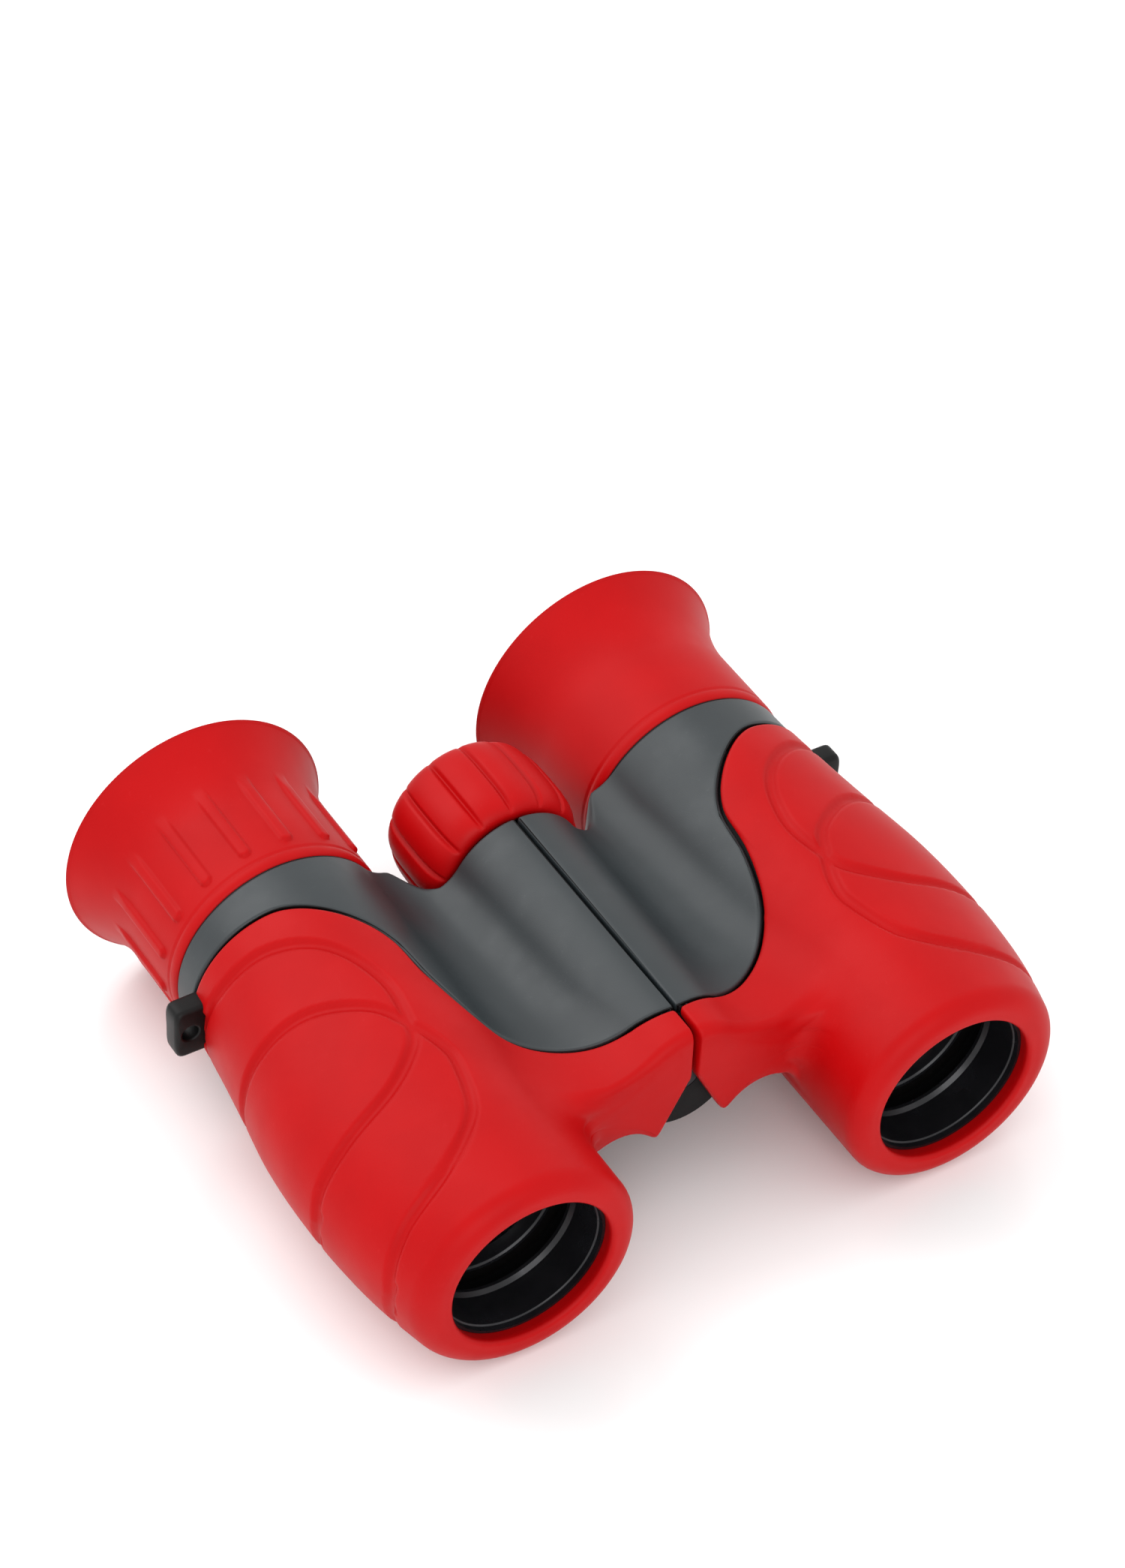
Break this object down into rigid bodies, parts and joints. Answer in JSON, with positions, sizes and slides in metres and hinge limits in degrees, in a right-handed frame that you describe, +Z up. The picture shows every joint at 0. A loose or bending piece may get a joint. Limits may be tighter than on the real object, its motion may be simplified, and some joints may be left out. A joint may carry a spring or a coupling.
{
  "type": "toy binoculars",
  "caption": "Children's folding binoculars with rubber-armoured barrels, a split grey bridge, a centre focus knob, flared eyecups and strap lugs.",
  "frame": {"origin": "under the middle of the bounding box, on the plane that the eyecup rims stand on", "axes": "+Z up, objectives towards -Y, eyecups towards +Y, hinge in the plane X = 0, wearer's right barrel at -X"},
  "size_m": [0.1138, 0.0992, 0.0427],
  "materials": {
    "red_rubber": "soft-touch matte",
    "grey_plastic": "satin, fine moulded grain",
    "black_plastic": "satin",
    "black_anodised": "black anodised, satin",
    "lens_glass": "polished, coated",
    "steel": "turned",
    "brass": "turned"
  },
  "bodies": {
    "right_half": {"right_chassis": "grey_plastic", "right_armour": "red_rubber", "right_strap_lug": "black_plastic", "right_front_sleeve": "black_anodised", "right_prism_holder": "black_plastic", "right_prisms": "lens_glass", "hinge_tube": "steel", "hinge_washers": "brass"},
    "left_half": {"left_chassis": "grey_plastic", "left_armour": "red_rubber", "left_strap_lug": "black_plastic", "left_front_sleeve": "black_anodised", "left_prism_holder": "black_plastic", "left_prisms": "lens_glass", "left_eyepiece_tube": "black_plastic", "left_field_lens": "lens_glass", "left_eye_lens": "lens_glass", "left_eyepiece_ring": "black_plastic", "left_cup_sleeve": "black_plastic", "left_eyecup": "red_rubber"},
    "focus_knob": {"focus_grip": "red_rubber", "focus_hub": "black_plastic", "focus_cap": "black_plastic", "focus_spindle": "steel"},
    "right_focus": {"focus_nut": "brass", "right_focus_arm": "black_anodised", "right_objective_cell": "black_plastic", "right_objective_lens": "lens_glass", "right_objective_ring": "black_anodised"},
    "left_focus": {"left_focus_arm": "black_anodised", "left_objective_cell": "black_plastic", "left_objective_lens": "lens_glass", "left_objective_ring": "black_anodised"},
    "dioptre": {"dioptre_ring": "black_plastic", "right_eyecup": "red_rubber"},
    "right_eyepiece": {"right_eyepiece_tube": "black_plastic", "right_field_lens": "lens_glass", "right_eye_lens": "lens_glass", "right_eyepiece_ring": "black_plastic"}
  },
  "joints": [
    {"name": "fold", "type": "hinge", "parent": "right_half", "child": "left_half", "pos_m": [0, 0, 0.02625], "axis": [0, 1, 0], "range_deg": [0, 60]},
    {"name": "focus_turn", "type": "hinge", "parent": "right_half", "child": "focus_knob", "pos_m": [0, 0, 0.02625], "axis": [0, 1, 0], "range_deg": [-288, 72]},
    {"name": "right_focus_slide", "type": "slide", "parent": "right_half", "child": "right_focus", "axis": [0, 1, 0], "range_m": [-0.0024, 0.0006]},
    {"name": "left_focus_slide", "type": "slide", "parent": "left_half", "child": "left_focus", "axis": [0, 1, 0], "range_m": [-0.0024, 0.0006]},
    {"name": "dioptre_turn", "type": "hinge", "parent": "right_half", "child": "dioptre", "pos_m": [-0.035, 0, 0.02135], "axis": [0, 1, 0], "range_deg": [-45, 45]},
    {"name": "dioptre_slide", "type": "slide", "parent": "right_half", "child": "right_eyepiece", "axis": [0, 1, 0], "range_m": [-0.0005, 0.0005]}
  ],
  "couplings": [
    {"joint": "focus_turn", "follows": "right_focus_slide", "rad_per_m": 2094.4},
    {"joint": "left_focus_slide", "follows": "right_focus_slide", "ratio": 1},
    {"joint": "dioptre_slide", "follows": "dioptre_turn", "m_per_rad": 0.000636}
  ]
}
